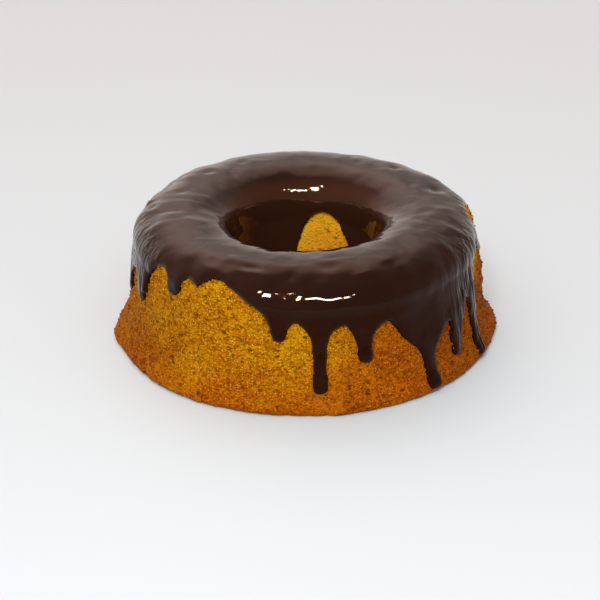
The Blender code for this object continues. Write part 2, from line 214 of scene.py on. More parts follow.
@dataclass
class Lattice:
    """Smooth noise from a repeating lattice of seeded random numbers."""

    seed: int
    size: int = 32
    values: Array = field(init=False, repr=False)
    jitter: Array = field(init=False, repr=False)

    def __post_init__(self) -> None:
        """Draw the lattice's numbers and each cell's own random point."""
        numbers = np.random.default_rng(self.seed)
        shape = (self.size, self.size, self.size)
        self.values = numbers.uniform(-1.0, 1.0, shape)
        self.jitter = numbers.uniform(0.0, 1.0, (*shape, 4))

    def wave(self, points: Array, length: float) -> Array:
        """Noise between -1 and 1: the eight corner numbers of a cell, smoothly mixed.

        Args:
            points: Places, one row each.
            length: Length of a cell.

        Returns:
            One number a point.
        """
        where = points / length
        cell = np.floor(where).astype(int)
        share = where - cell
        share = share**3 * (share * (share * 6 - 15) + 10)
        total = np.zeros(len(points))
        for corner in itertools.product((0, 1), repeat=3):
            i, j, k = ((cell + corner) % self.size).T
            weight = np.where(np.array(corner) == 1, share, 1 - share).prod(axis=1)
            total += weight * self.values[i, j, k]
        return total

    def layers(self, points: Array, length: float, count: int) -> Array:
        """Sum of waves, each half as long and half as strong as the one before.

        Args:
            points: Places, one row each.
            length: Cell length of the first wave.
            count: Number of waves.

        Returns:
            One number a point.
        """
        total = np.zeros(len(points))
        for layer in range(count):
            total += self.wave(points + 37.0 * layer, length / 2**layer) / 2**layer
        return total

    def pits(self, points: Array, length: float, share: float) -> Array:
        """Round pits at random places: one candidate a cell, deepest in its middle.

        Each candidate has its own radius. The depth falls from 1 to 0 with the square of
        the distance over that radius, and only a share of the cells holds a pit.

        Args:
            points: Places, one row each.
            length: Length of a cell.
            share: Part of the cells that holds a pit.

        Returns:
            Depth between 0 and 1 at each point.
        """
        where = points / length
        cell = np.floor(where).astype(int)
        deepest = np.zeros(len(points))
        for corner in itertools.product((-1, 0, 1), repeat=3):
            i, j, k = ((cell + corner) % self.size).T
            drawn = self.jitter[i, j, k]
            gap = cell + corner + drawn[:, :3] - where
            radius = 0.12 + 0.3 * (drawn[:, 3] / share) ** 2
            depth = 1 - (gap**2).sum(axis=1) / radius**2
            deepest = np.maximum(deepest, np.where(drawn[:, 3] < share, depth, 0.0))
        return deepest


@dataclass
class Ring:
    """The turned section of the sponge and the slow unevenness of its skin."""

    crest_height: float = 78.4
    crest_radius: float = 77.0
    wall_top_radius: float = 104.6
    wall_top_height: float = 60.4
    wall_lean: float = 0.2
    shoulder_power: float = 2.5
    hole_top_radius: float = 48.4
    hole_top_height: float = 51.0
    hole_base_radius: float = 36.5
    lip_power: float = 2.25
    foot_bulge: float = 2.6
    foot_height: float = 5.0
    foot_spread: float = 6.0
    base_rounding: float = 1.8
    swell_base: float = 0.3
    swell_crest: float = 0.45
    swell_fade: float = 6.0
    swellings: tuple[Swelling, ...] = Swelling.rows(
        (90, 24, 44, 17, 3), (-88, 20, 32, 11, -2), (-46, 30, 0, 16, 2.4),
        (-80, 8, 2, 6.5, 3.6), (-94, 14, 13, 8, -2.8), (88, 15, 1.5, 8.5, 4.4),
        (-112, 30, 76, 12, -1.6), (116, 30, 76, 12, 1.4), (102, 11, 69, 9, 3.4),
    )

    def __post_init__(self) -> None:
        """Tabulate the section once."""
        self.along, self.radius, self.height, self.normal_r, self.normal_z = self.section()
        middle = (self.radius[1:] + self.radius[:-1]) / 2
        self.growth = np.concatenate([[0.0], np.cumsum(np.diff(self.along) / middle)])

    def wall_radius(self, height: Array | float) -> Array | float:
        """Outer wall: a straight lean, and a bell-shaped bulge near the foot."""
        lean = self.wall_lean * (self.wall_top_height - height)
        foot = self.foot_bulge * bell(height, self.foot_height, self.foot_spread)
        return self.wall_top_radius + lean + foot

    def hole_radius(self, height: Array | float) -> Array | float:
        """Hole's wall: a straight line that narrows towards the base."""
        share = height / self.hole_top_height
        return self.hole_base_radius + (self.hole_top_radius - self.hole_base_radius) * share

    def quarter(self, radius: float, height: float, power: float) -> Array:
        """Quarter superellipse from a wall's top to the crest.

        Args:
            radius: Radius at the wall's top.
            height: Height of the wall's top.
            power: Superellipse exponent; 2 is a plain ellipse.

        Returns:
            Rows of radius and height.
        """
        turn = np.linspace(0.0, math.pi / 2, 120)
        out = self.crest_radius + (radius - self.crest_radius) * np.cos(turn) ** (2 / power)
        up = height + (self.crest_height - height) * np.sin(turn) ** (2 / power)
        return np.stack([out, up], axis=1)

    def section(self) -> tuple[Array, Array, Array, Array, Array]:
        """Hole's wall, lip, shoulder and outer wall joined from base edge to base edge.

        Returns:
            Distance along the section, radius, height, and both parts of the normal.
        """
        hole_z = np.linspace(self.base_rounding, self.hole_top_height, 60)[:-1]
        wall_z = np.linspace(self.base_rounding, self.wall_top_height, 80)[:-1]
        hole = np.stack([self.hole_radius(hole_z), hole_z], axis=1)
        wall = np.stack([self.wall_radius(wall_z), wall_z], axis=1)
        lip = self.quarter(self.hole_top_radius, self.hole_top_height, self.lip_power)
        top = self.quarter(self.wall_top_radius, self.wall_top_height, self.shoulder_power)
        start = [[self.hole_radius(0.0) + self.base_rounding, 0.0]]
        end = [[self.wall_radius(0.0) - self.base_rounding, 0.0]]
        points = np.concatenate([start, hole, lip, top[::-1][1:], wall[::-1], end])
        along = np.concatenate([[0.0], np.cumsum(np.hypot(*np.diff(points, axis=0).T))])
        along -= along[len(start) + len(hole) + len(lip) - 1]
        tangent = np.gradient(points, along, axis=0)
        tangent /= np.hypot(*tangent.T)[:, None]
        return along, points[:, 0], points[:, 1], -tangent[:, 1], tangent[:, 0]

    def along_at(self, height: Array | float, outer: bool = True) -> Array:
        """Distance from the crest to a height, down the outside or down the hole."""
        side = -1.0 if outer else 1.0
        part = side * self.along < 0
        return np.interp(side * np.asarray(height), side * self.height[part], self.along[part])

    def radius_at(self, along: Array) -> Array:
        """Radius of the section at a distance along it."""
        return np.interp(along, self.along, self.radius)

    def height_at(self, along: Array) -> Array:
        """Height of the section at a distance along it."""
        return np.interp(along, self.along, self.height)

    def place(self, angle: Array, along: Array, lift: Array | float) -> Array:
        """Points raised along the section's normal from the uneven skin.

        The wall swells by slow sine waves round the ring and by the soft swellings; the
        crest rises and falls by slow sine waves times the square of the height.

        Args:
            angle: Angles in radians.
            along: Distances along the section.
            lift: Height above the skin.

        Returns:
            One row of x, y and z for each point.
        """
        height = self.height_at(along)
        wave = np.sin(2 * angle + 0.7) + 0.6 * np.sin(3 * angle - 1.1)
        radial = self.swell_base * (wave + 0.4 * np.sin(7 * angle))
        for swelling in self.swellings:
            radial = radial + swelling.strength(angle, height)
        tilt = np.sin(2 * angle - 0.4) + 0.5 * np.sin(5 * angle + 2.0)
        upward = self.swell_crest * (height / self.crest_height) ** 2 * tilt
        out = self.radius_at(along) + slope(along, 0.0, self.swell_fade) * radial
        out = out + lift * np.interp(along, self.along, self.normal_r)
        up = height + upward + lift * np.interp(along, self.along, self.normal_z)
        return np.stack([out * np.sin(angle), -out * np.cos(angle), up], axis=-1)

    def spread(self, angle: Array, along: Array) -> Array:
        """The skin laid flat as a ring whose size grows so that angles are kept."""
        size = np.exp(np.interp(along, self.along, self.growth))
        return np.stack([size * np.cos(angle), size * np.sin(angle)], axis=-1)

    def gather(self, flat: Array) -> Pair:
        """Angle and distance along the section of points that spread has laid flat."""
        size = np.log(np.hypot(flat[:, 0], flat[:, 1]))
        return np.arctan2(flat[:, 1], flat[:, 0]), np.interp(size, self.growth, self.along)


@dataclass
class Rim:
    """One closed edge of the coat, as a smooth curve on the skin."""

    guides: Edge
    ring: Ring
    outer: bool
    step: float = 0.75
    ragged: float = 0.34
    ragged_length: float = 3.2

    def __post_init__(self) -> None:
        """Work the curve out once and make it slightly ragged."""
        self.angle, self.along = self.curve()
        lattice = Lattice(seed=31)
        round_ring = self.ring.place(self.angle, self.along, 0.0)
        sideways = lattice.layers(round_ring, self.ragged_length, 2)
        down = lattice.layers(round_ring + 60.0, self.ragged_length, 2)
        self.angle = self.angle + self.ragged * sideways / self.ring.radius_at(self.along)
        self.along = self.along + self.ragged * down

    def curve(self) -> Pair:
        """Catmull-Rom curve through the guide points, cut into even steps.

        Returns:
            Angles in radians and distances along the section.
        """
        ring = self.ring
        degree = math.radians(1.0)
        outline = []
        for guide in self.guides:
            tip = guide.tip if isinstance(guide, Drip) else guide.height
            outline += guide.outline(degree * float(ring.wall_radius(tip)))
        angle, height = np.array(outline).T
        size = ring.wall_top_radius if self.outer else ring.hole_base_radius
        along = ring.along_at(height, self.outer)
        points = np.stack([np.radians(angle) * size, along], axis=1)
        whole = np.array([[TURN * size, 0.0]])
        points = np.concatenate([points[-1:] - whole, points, points[:2] + whole])
        pieces = []
        for p0, p1, p2, p3 in zip(points, points[1:], points[2:], points[3:]):
            count = max(1, round(float(np.hypot(*(p2 - p1))) / self.step))
            t = (np.arange(count) / count)[:, None]
            bend = (2 * p0 - 5 * p1 + 4 * p2 - p3) * t**2
            bend += (3 * p1 - p0 - 3 * p2 + p3) * t**3
            pieces.append((2 * p1 + (p2 - p0) * t + bend) / 2)
        line = np.concatenate(pieces)
        return line[:, 0] / size, line[:, 1]

    def inward(self) -> Pair:
        """Unit direction from the rim into the coat, round the ring and along it."""
        radius = self.ring.radius_at(self.along)
        ahead = np.roll(self.angle, -1) - np.roll(self.angle, 1)
        run = ((ahead + math.pi) % TURN - math.pi) * radius
        climb = np.roll(self.along, -1) - np.roll(self.along, 1)
        length = np.hypot(run, climb)
        side = -1.0 if self.outer else 1.0
        return -side * climb / length, side * run / length

    def offset(self, distance: float) -> Pair:
        """The rim moved into the coat by a distance."""
        across, down = self.inward()
        angle = self.angle + distance * across / self.ring.radius_at(self.along)
        return angle, self.along + distance * down

    def measure(self, angle: Array, along: Array, centre: float, reach: float) -> tuple:
        """Distance to the rim, and the side of it, of points near one angle.

        Only the rim's steps within reach of the centre count. A point is on the coat's
        side where a line from it away from the crest crosses the rim an odd number of
        times.

        Args:
            angle: Angles in radians, within half a turn of the centre.
            along: Distances along the section.
            centre: Middle angle of the points.
            reach: Half the width of the stretch of rim that counts.

        Returns:
            Distances, and whether each point is on the coat's side.
        """
        ends = np.stack([self.angle, np.roll(self.angle, -1)])
        ends = centre + (ends - centre + math.pi) % TURN - math.pi
        near = (np.abs(ends - centre) < reach).all(axis=0)
        a0, a1 = ends[:, near]
        s0, s1 = self.along[near], np.roll(self.along, -1)[near]
        radius = self.ring.radius_at(along)[:, None]
        x0, x1 = (a0 - angle[:, None]) * radius, (a1 - angle[:, None]) * radius
        y0, y1 = s0 - along[:, None], s1 - along[:, None]
        dx, dy = x1 - x0, y1 - y0
        share = np.clip(-(x0 * dx + y0 * dy) / (dx**2 + dy**2), 0.0, 1.0)
        gap = np.hypot(x0 + share * dx, y0 + share * dy).min(axis=1)
        spans = (x0 > 0) != (x1 > 0)
        cross = y0 - x0 * dy / np.where(dx == 0, 1.0, dx)
        beyond = cross > 0 if self.outer else cross < 0
        return gap, (spans & beyond).sum(axis=1) % 2 == 1


@dataclass
class Coverage:
    """Which part of the skin lies under the coat, and how far its edge is."""

    ring: Ring
    sectors: int = 120
    reach: float = math.radians(13.0)

    def __post_init__(self) -> None:
        """Make both rims."""
        self.outer = Rim(COAT_EDGE, self.ring, outer=True)
        self.inner = Rim(HOLE_EDGE, self.ring, outer=False)

    def signed(self, angle: Array, along: Array) -> Array:
        """Distance to the nearest rim, above zero under the coat and below zero outside.

        The points are taken one sector of the ring at a time.

        Args:
            angle: Angles in radians.
            along: Distances along the section.

        Returns:
            One signed distance a point, right up to about seven millimetres.
        """
        turned = np.mod(angle, TURN)
        width = TURN / self.sectors
        sector = np.minimum((turned / width).astype(int), self.sectors - 1)
        result = np.empty(len(angle))
        for index in range(self.sectors):
            mine = sector == index
            centre = (index + 0.5) * width
            where = turned[mine], along[mine], centre, self.reach
            outer_gap, outer_in = self.outer.measure(*where)
            inner_gap, inner_in = self.inner.measure(*where)
            side = np.where(outer_in & inner_in, 1.0, -1.0)
            result[mine] = side * np.minimum(outer_gap, inner_gap)
        return result


def add_object(name: str, data: Any) -> Piece:
    """A new object in the scene."""
    made = bpy.data.objects.new(name, data)
    bpy.context.scene.collection.objects.link(made)
    return made


def make_mesh(name: str, points: Array, faces: Array) -> Piece:
    """A smooth-shaded object in metres at the origin.

    Args:
        name: Name of the piece.
        points: Corner places in millimetres, one row each.
        faces: Corner numbers of each face.

    Returns:
        The new object, linked to the scene.
    """
    mesh = bpy.data.meshes.new(name)
    mesh.from_pydata((points * MILLIMETRE).tolist(), [], faces.tolist())
    mesh.validate()
    mesh.shade_smooth()
    return add_object(name, mesh)


def dress(piece: Piece, material: bpy.types.Material) -> None:
    """Give a piece its material and its body, and log its triangle count.

    Args:
        piece: The finished piece.
        material: Its material.
    """
    piece.data.materials.append(material)
    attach(piece, "root")
    triangles = sum(len(face.vertices) - 2 for face in piece.data.polygons)
    LOG.info("%s: %d triangles", piece.name, triangles)


Number = Union["Value", float]


class Blend(Enum):
    """How a second colour acts on a first."""

    MIX = "MIX"
    TINT = "MULTIPLY"


@dataclass(frozen=True)
class Value:
    """A number that varies over a surface, with arithmetic that adds Math nodes."""

    graph: "Graph"
    socket: Socket

    def math(self, operation: str, first: Number, second: Number) -> "Value":
        """One Math node on two numbers."""
        return self.graph.value("ShaderNodeMath", {"operation": operation}, (first, second))

    def __add__(self, other: Number) -> "Value":
        """Sum."""
        return self.math("ADD", self, other)

    def __sub__(self, other: Number) -> "Value":
        """Difference."""
        return self.math("SUBTRACT", self, other)

    def __rsub__(self, other: Number) -> "Value":
        """Difference from a plain number."""
        return self.math("SUBTRACT", other, self)

    def __mul__(self, other: Number) -> "Value":
        """Product."""
        return self.math("MULTIPLY", self, other)

    def __pow__(self, other: Number) -> "Value":
        """Power."""
        return self.math("POWER", self, other)

    __radd__ = __add__
    __rmul__ = __mul__

    def between(self, low: float, high: float) -> "Value":
        """Smooth rise from 0 at low to 1 at high; falls where low is above high."""
        ends = (self, low, high, 0.0, 1.0) if low < high else (self, high, low, 1.0, 0.0)
        settings = {"interpolation_type": "SMOOTHSTEP"}
        return self.graph.value("ShaderNodeMapRange", settings, ends)


class Target(Enum):
    """The shader and the output node of a material, and of the world."""

    MATERIAL = ("ShaderNodeBsdfPrincipled", "ShaderNodeOutputMaterial")
    WORLD = ("ShaderNodeBackground", "ShaderNodeOutputWorld")


@dataclass
class Graph:
    """The node tree of a material or of the world, built by value."""

    owner: bpy.types.Material | bpy.types.World

    def __post_init__(self) -> None:
        """Start an empty tree."""
        self.owner.use_nodes = True
        self.tree = self.owner.node_tree
        self.tree.nodes.clear()

    def node(self, kind: str, settings: dict[str, Any], inputs: Any) -> bpy.types.Node:
        """Add one node: its settings first, then its sockets.

        Args:
            kind: Blender's name of the node type.
            settings: Properties of the node.
            inputs: Numbers, colours, sockets or values, in order or by socket identifier.

        Returns:
            The node.
        """
        node = self.tree.nodes.new(kind)
        for name, setting in settings.items():
            setattr(node, name, setting)
        pairs = inputs.items() if isinstance(inputs, dict) else enumerate(inputs)
        for key, given in pairs:
            self.fill(self.find(node.inputs, key), given)
        return node

    @staticmethod
    def find(sockets: Any, key: int | str) -> Socket:
        """The socket with that number, or with that identifier or name."""
        if isinstance(key, int):
            return sockets[key]
        return next(s for s in sockets if key in (s.identifier, s.name))

    def fill(self, socket: Socket, given: Any) -> None:
        """Link a socket, or set its own value."""
        if isinstance(given, Value):
            given = given.socket
        if isinstance(given, Socket):
            self.tree.links.new(given, socket)
        else:
            socket.default_value = given

    def value(self, kind: str, settings: dict[str, Any], inputs: Any, out: Any = 0) -> Value:
        """One output of a new node as a value."""
        return Value(self, self.node(kind, settings, inputs).outputs[out])

    def place(self, kind: str = "Object") -> Socket:
        """Place on the piece in metres, or another of the coordinates."""
        return self.node("ShaderNodeTexCoord", {}, {}).outputs[kind]

    def measures(self, place: Socket) -> tuple[Value, ...]:
        """Distances to the right, back and up, and from the axis, in millimetres."""
        split = self.node("ShaderNodeSeparateXYZ", {}, (place,))
        across, ahead, up = (Value(self, out) * (1 / MILLIMETRE) for out in split.outputs)
        return across, ahead, up, (across * across + ahead * ahead) ** 0.5

    def texture(self, kind: str, place: Any, length: float, upright: float) -> bpy.types.Node:
        """A texture with features of a length in millimetres, lower by upright."""
        settings = {"operation": "MULTIPLY"}
        scaled = self.node("ShaderNodeVectorMath", settings, (place, (1.0, 1.0, upright)))
        inputs = {"Vector": scaled.outputs[0], "Scale": 1 / (length * MILLIMETRE)}
        return self.node(kind, {}, inputs)

    def noise(self, place: Any, length: float, detail: float, upright: float = 1.0) -> Value:
        """Noise about 0.5."""
        node = self.texture("ShaderNodeTexNoise", place, length, upright)
        self.fill(node.inputs["Detail"], detail)
        return Value(self, node.outputs[0])

    def cells(self, place: Any, length: float, upright: float) -> tuple[Value, Value]:
        """Distance to the nearest cell's point, and a random number for each cell."""
        node = self.texture("ShaderNodeTexVoronoi", place, length, upright)
        red = self.value("ShaderNodeSeparateColor", {}, (node.outputs["Color"],))
        return Value(self, node.outputs["Distance"]), red

    def mix(self, factor: Number, first: Any, second: Colour, blend: Blend = Blend.MIX) -> Any:
        """A colour between two, or towards the product of the two, by a factor."""
        inputs = {"Factor_Float": factor, "A_Color": first, "B_Color": rgba(second)}
        settings = {"data_type": "RGBA", "clamp_factor": True, "blend_type": blend.value}
        return self.find(self.node("ShaderNodeMix", settings, inputs).outputs, "Result_Color")

    def bump(self, height: Value, distance: float) -> Socket:
        """A normal tilted by a height field, where 1 stands for a depth in millimetres."""
        inputs = {"Height": height, "Distance": distance * MILLIMETRE, "Strength": 1.0}
        return self.node("ShaderNodeBump", {}, inputs).outputs[0]

    def finish(self, target: Target, sockets: dict[str, Any]) -> Any:
        """Add the shader with its sockets, link the output and hand over the owner."""
        shader, output = target.value
        self.node(output, {}, {"Surface": self.node(shader, {}, sockets).outputs[0]})
        return self.owner


def rgba(colour: Colour) -> tuple[float, float, float, float]:
    """A colour with full alpha."""
    return (*colour, 1.0)


class Pattern(Enum):
    """Noises of the crumb: length of the features, detail, and how low they are."""

    BROAD = (30.0, 2.0, 1.0)
    PATCH = (7.0, 3.0, 1.5)
    CLUMP = (3.0, 2.0, 1.5)
    GRAIN = (1.35, 3.0, 1.5)


@dataclass(frozen=True)
class Stain:
    """A colour that sets in where a pattern passes the start, up to its strength."""

    pattern: Pattern
    start: float
    full: float
    strength: float
    colour: Colour


@dataclass(frozen=True)
class Spots:
    """Spots in the middle of some cells, with an uneven edge."""

    length: float
    upright: float
    uneven: float
    edge: Band
    choice: Band

    def mask(self, graph: Graph, place: Any, wobble: Value) -> Value:
        """One in the spots and zero between them, with the edge moved by the wobble."""
        gap, pick = graph.cells(place, self.length, self.upright)
        moved = gap + self.uneven * (wobble - 0.5)
        return moved.between(*self.edge) * pick.between(*self.choice)


@dataclass(frozen=True)
class GoldenCrumb:
    """Finish of the baked sponge: mottled gold, pores darkened with painted shade, bright
    grains made of painted glints, and painted shade on the foot and sides.
    """

    gold: Colour = (0.455, 0.168, 0.0005)
    warm: Colour = (0.36, 0.095, 0.0005)
    deep: Colour = (0.19, 0.044, 0.0003)
    pale: Colour = (0.62, 0.32, 0.002)
    # Colour of the painted glints on the bright specks of the crumb.
    painted_glint: Colour = (1.0, 0.6, 0.06)
    # Colour of the painted shade in the pores and slits.
    pore_shade: Colour = (0.15, 0.036, 0.0006)
    # Tint of the foot: a browner baked crust together with painted shade.
    baked: Colour = (0.8, 0.47, 0.6)
    shaded: Colour = (0.76, 0.69, 0.5)
    hole: Colour = (1.0, 0.51, 0.02)
    stains: tuple[Stain, ...] = (
        Stain(Pattern.PATCH, 0.44, 0.62, 0.8, warm),
        Stain(Pattern.BROAD, 0.45, 0.62, 0.45, pale),
        Stain(Pattern.CLUMP, 0.5, 0.32, 0.65, deep),
        Stain(Pattern.CLUMP, 0.52, 0.7, 0.5, pale),
        Stain(Pattern.GRAIN, 0.52, 0.64, 0.6, pale),
        Stain(Pattern.GRAIN, 0.48, 0.34, 0.8, deep),
    )
    pits: Spots = Spots(5.2, 1.5, 0.5, (0.32, 0.1), (0.74, 0.9))
    slits: Spots = Spots(2.6, 2.4, 0.5, (0.4, 0.16), (0.6, 0.9))
    specks: Spots = Spots(1.45, 1.0, 0.0, (0.45, 0.2), (0.55, 0.85))
    hole_edge: Band = (60.0, 52.0)
    hole_share: float = 0.88
    speck_share: float = 0.75
    pit_share: Band = (0.8, 0.55)
    slit_share: Band = (0.46, 0.36)
    foot_edge: Band = (50.0, 8.0)
    foot_wander: float = 24.0
    foot_climb: float = 34.0
    climb_edge: Band = (-30.0, 50.0)
    sides_front: Band = (-108.0, -66.0)
    sides_top: Band = (62.0, 48.0)
    roughness: float = 0.8
    speck_gloss: float = 0.4
    bump: float = 1.4
    shine: float = 0.12
    tint: Colour = (1.0, 0.55, 0.08)

    def material(self) -> bpy.types.Material:
        """Gold mixed with darker and paler patches and grains, a paler hole, pores darkened
        with painted shade, specks brightened with painted glints, a browner foot that is part
        baked crust and part painted shade, and painted shade on the sides.
        """
        graph = Graph(bpy.data.materials.new("golden_crumb"))
        place = graph.place()
        across, ahead, up, radius = graph.measures(place)
        noise = {pattern: graph.noise(place, *pattern.value) for pattern in Pattern}
        clump = noise[Pattern.CLUMP]
        kinds = (self.pits, self.slits, self.specks)
        pit, slit, speck = (spots.mask(graph, place, clump) for spots in kinds)
        inside = radius.between(*self.hole_edge)
        # The foot's band climbs higher on the right: painted shade on the right side.
        climb = across.between(*self.climb_edge) * self.foot_climb
        low = (up - climb + self.foot_wander * noise[Pattern.BROAD]).between(*self.foot_edge)
        # Painted shade on the sides, away from the front and below the shoulder.
        sides = ahead.between(*self.sides_front) * up.between(*self.sides_top)
        colour = rgba(self.gold)
        for stain in self.stains:
            share = noise[stain.pattern].between(stain.start, stain.full) * stain.strength
            colour = graph.mix(share, colour, stain.colour)
        colour = graph.mix(inside * self.hole_share, colour, self.hole)
        # Painted glints: the specks are brightened as if they caught the light.
        colour = graph.mix(speck * self.speck_share, colour, self.painted_glint)
        # Browner foot: partly the baked crust, partly painted shade low down near the floor.
        colour = graph.mix(low, colour, self.baked, Blend.TINT)
        colour = graph.mix(sides * (1.0 - inside), colour, self.shaded, Blend.TINT)
        # Painted shade: the slits and pits are darkened where shade falls into them, less so
        # in the hole.
        for spot, (share, loss) in ((slit, self.slit_share), (pit, self.pit_share)):
            colour = graph.mix(spot * (share - loss * inside), colour, self.pore_shade)
        grain = noise[Pattern.GRAIN]
        relief = grain * 0.6 + clump * 0.5 + speck * 0.3 - pit - slit * 0.6
        sockets = {
            "Base Color": colour,
            "Roughness": self.roughness - self.speck_gloss * speck,
            "Normal": graph.bump(relief, self.bump),
            "Specular IOR Level": self.shine,
            "Specular Tint": rgba(self.tint),
        }
        return graph.finish(Target.MATERIAL, sockets)


@dataclass(frozen=True)
class SetChocolate:
    """Finish of the poured chocolate: near black brown, smooth and glossy."""

    body: Colour = (0.0045, 0.0014, 0.0005)
    bloom: Colour = (0.013, 0.0045, 0.002)
    bloom_share: float = 0.5
    thin: Colour = (0.034, 0.0125, 0.0055)
    thin_edge: Band = (58.0, 48.0)
    roughness: float = 0.05
    cloud_roughness: float = 0.02
    fine_roughness: float = 0.01
    refraction: float = 1.33
    tint: Colour = (1.0, 0.28, 0.14)
    skin: float = 0.12
    skin_roughness: float = 0.03
    skin_edge: Band = (56.0, 66.0)
    fold_sides: Band = (74.0, 100.0)
    fold_radius: Band = (92.0, 103.0)
    fold_depth: float = 5.5
    bump: float = 0.35

    def material(self) -> bpy.types.Material:
        """Dark brown with slightly paler clouds, soft waves and folds at the sides."""
        graph = Graph(bpy.data.materials.new("set_chocolate"))
        place = graph.place()
        across, _, up, radius = graph.measures(place)
        cloud = graph.noise(place, 26.0, 3.0)
        wave = graph.noise(place, 9.0, 1.0)
        fine = graph.noise(place, 2.6, 2.0)
        fold = graph.noise(place, 4.6, 2.0, 0.16) * radius.between(*self.fold_radius)
        fold = fold * ((across * across) ** 0.5).between(*self.fold_sides)
        share = cloud.between(0.45, 0.75) * self.bloom_share
        colour = graph.mix(share, rgba(self.body), self.bloom)
        dull = self.cloud_roughness * cloud.between(0.4, 0.75) + self.fine_roughness * fine
        relief = wave * 0.8 + fine * 0.05 + fold * self.fold_depth
        sockets = {
            "Base Color": graph.mix(radius.between(*self.thin_edge), colour, self.thin),
            "Roughness": self.roughness + dull,
            "Normal": graph.bump(relief, self.bump),
            "IOR": self.refraction,
            "Specular Tint": rgba(self.tint),
            "Coat Weight": up.between(*self.skin_edge) * self.skin,
            "Coat Roughness": self.skin_roughness,
        }
        return graph.finish(Target.MATERIAL, sockets)


def icosahedron() -> Pair:
    """The twelve corners at distance 1, and the twenty faces turned outwards.

    Returns:
        Corner places and corner numbers, one row each.
    """
    golden = (1 + math.sqrt(5)) / 2
    shape = [(0, i, j * golden) for i in (-1, 1) for j in (-1, 1)]
    shape = np.array([np.roll(corner, turn) for turn in range(3) for corner in shape])
    shape /= np.linalg.norm(shape[0])
    near = np.linalg.norm(shape[:, None] - shape[None], axis=2) < 1.1
    trios = itertools.combinations(range(12), 3)
    faces = np.array([trio for trio in trios if near[np.ix_(trio, trio)].all()])
    sides = shape[faces]
    normal = np.cross(sides[:, 1] - sides[:, 0], sides[:, 2] - sides[:, 0])
    inwards = (normal * sides.mean(axis=1)).sum(axis=1) < 0
    faces[inwards] = faces[inwards][:, ::-1]
    return shape, faces


@dataclass
class Layer:
    """One layer of the cake on the skin of the ring, with noise of its own."""

    ring: Ring
    coverage: Coverage
    seed: int = 0

    def __post_init__(self) -> None:
        """Draw the noise that the layer's relief uses."""
        self.lattice = Lattice(self.seed)


